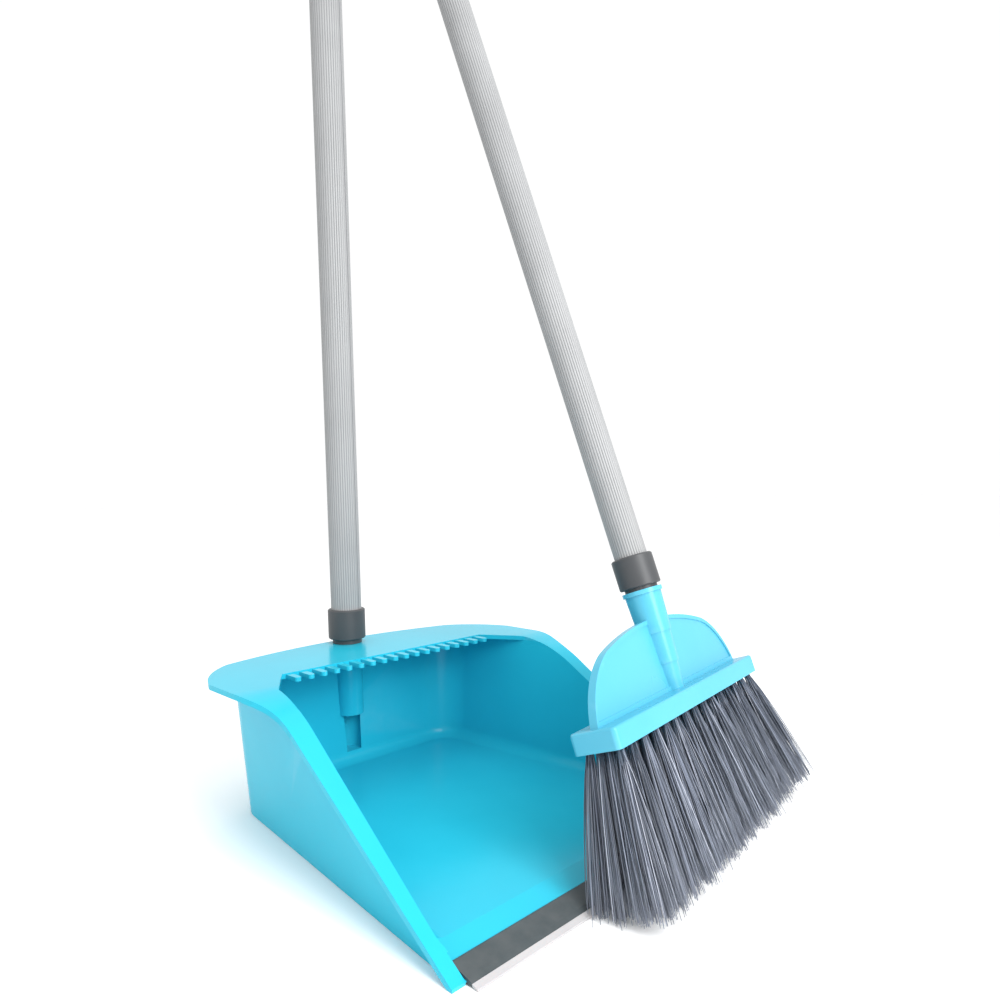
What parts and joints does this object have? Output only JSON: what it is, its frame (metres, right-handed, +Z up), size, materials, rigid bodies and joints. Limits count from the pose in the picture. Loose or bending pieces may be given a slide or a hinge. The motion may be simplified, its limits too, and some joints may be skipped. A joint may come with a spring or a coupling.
{
  "type": "dust pan and brush set",
  "caption": "Long-handled dust pan with a comb and rubber lip, and a long-handled broom standing in front of it.",
  "frame": {"origin": "on the floor, under the strip the pan rests on just behind its front edge, midway along it", "axes": "+Z up, +X along the pan's front edge, +Y from the front edge to the back of the pan"},
  "size_m": [0.3162, 0.3467, 0.8848],
  "materials": {
    "pan_plastic": "glossy, light cyan",
    "head_plastic": "glossy, light cyan",
    "ferrule_plastic": "satin charcoal",
    "sleeve_plastic": "satin grey, finely ribbed lengthwise",
    "tube_steel": "plain rolled steel under the sleeve",
    "grip_plastic": "matt charcoal",
    "lip_rubber": "satin dark grey",
    "blade_rubber": "pale, slightly clear",
    "bristle_plastic": "dark grey filament",
    "anchor_steel": "flat wire"
  },
  "bodies": {
    "pan": {"dustpan_moulding": "pan_plastic", "lip_carrier": "lip_rubber", "lip_blade": "blade_rubber"},
    "pan_loop": {"pan_hanging_loop": "grip_plastic"},
    "pan_handle": {"pan_handle_ferrule": "ferrule_plastic", "pan_handle_tube": "tube_steel", "pan_handle_sleeve": "sleeve_plastic", "pan_end_plug": "grip_plastic", "pan_grip": "grip_plastic"},
    "broom": {"broom_head": "head_plastic", "bristle_row_1": "bristle_plastic", "bristle_row_2": "bristle_plastic", "bristle_row_3": "bristle_plastic", "bristle_row_4": "bristle_plastic", "tuft_anchors": "anchor_steel"},
    "broom_loop": {"broom_hanging_loop": "grip_plastic"},
    "broom_handle": {"broom_handle_ferrule": "ferrule_plastic", "broom_handle_tube": "tube_steel", "broom_handle_sleeve": "sleeve_plastic", "broom_end_plug": "grip_plastic", "broom_grip": "grip_plastic"}
  },
  "joints": [
    {"name": "pan_handle_turn", "type": "hinge", "parent": "pan", "child": "pan_handle", "pos_m": [0, 0.2184, 0.095], "axis": [0, 0, 1], "range_deg": [0, 2160]},
    {"name": "pan_loop_turn", "type": "hinge", "parent": "pan_handle", "child": "pan_loop", "pos_m": [0, 0.2184, 0.8317], "axis": [0, 0, 1], "continuous": true},
    {"name": "broom_lift", "type": "slide", "parent": "pan", "child": "broom", "axis": [-0.044, 0.3342, 0.9415], "range_m": [0, 0.3]},
    {"name": "broom_handle_turn", "type": "hinge", "parent": "broom", "child": "broom_handle", "pos_m": [0.07212, 0.01179, 0.14343], "axis": [-0.044, 0.3342, 0.9415], "range_deg": [0, 2160]},
    {"name": "broom_loop_turn", "type": "hinge", "parent": "broom_handle", "child": "broom_loop", "pos_m": [0.03825, 0.26903, 0.86808], "axis": [-0.044, 0.3342, 0.9415], "continuous": true}
  ]
}
